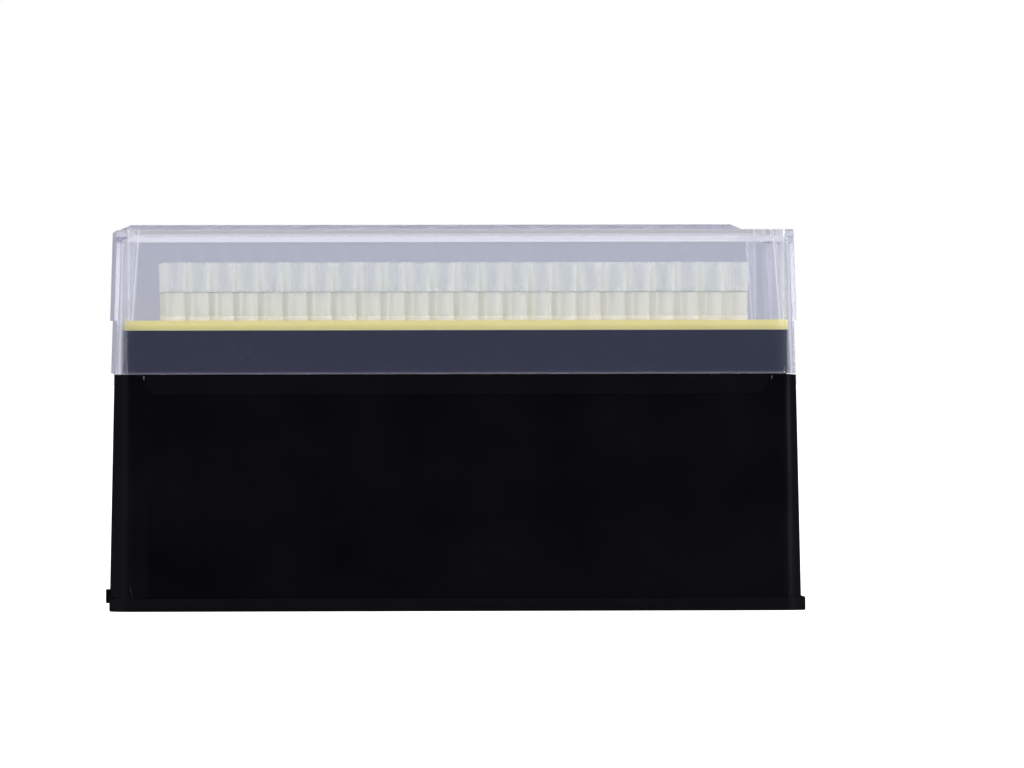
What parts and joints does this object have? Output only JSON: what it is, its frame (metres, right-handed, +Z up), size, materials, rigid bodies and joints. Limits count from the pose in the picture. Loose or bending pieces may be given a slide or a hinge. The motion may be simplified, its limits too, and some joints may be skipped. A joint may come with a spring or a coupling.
{
  "type": "pipette tip box",
  "caption": "Black rack box with a yellow grid plate full of hanging pipette tips, under a clear lid that lifts straight off.",
  "frame": {"origin": "centre of the foot's underside, on the bench", "axes": "+X along the long side to the right, +Y from the front to the back, +Z up out of the lid"},
  "size_m": [0.1278, 0.0854, 0.0708],
  "materials": {
    "base": "black moulded polypropylene, satin",
    "plate": "yellow moulded polypropylene",
    "lid": "clear moulded polypropylene",
    "tip": "natural translucent polypropylene"
  },
  "bodies": {
    "rack": {"base": "base", "plate": "plate", "tip_a1": "tip", "tips_column_01": "tip", "tips_column_02": "tip", "tips_column_03": "tip", "tips_column_04": "tip", "tips_column_05": "tip", "tips_column_06": "tip", "tips_column_07": "tip", "tips_column_08": "tip", "tips_column_09": "tip", "tips_column_10": "tip", "tips_column_11": "tip", "tips_column_12": "tip", "tips_column_13": "tip", "tips_column_14": "tip", "tips_column_15": "tip", "tips_column_16": "tip", "tips_column_17": "tip", "tips_column_18": "tip", "tips_column_19": "tip", "tips_column_20": "tip", "tips_column_21": "tip", "tips_column_22": "tip", "tips_column_23": "tip", "tips_column_24": "tip"},
    "lid": {"lid": "lid"}
  },
  "joints": [
    {"name": "lid_lift", "type": "slide", "parent": "rack", "child": "lid", "axis": [0, 0, 1], "range_m": [0, 0.06]}
  ]
}
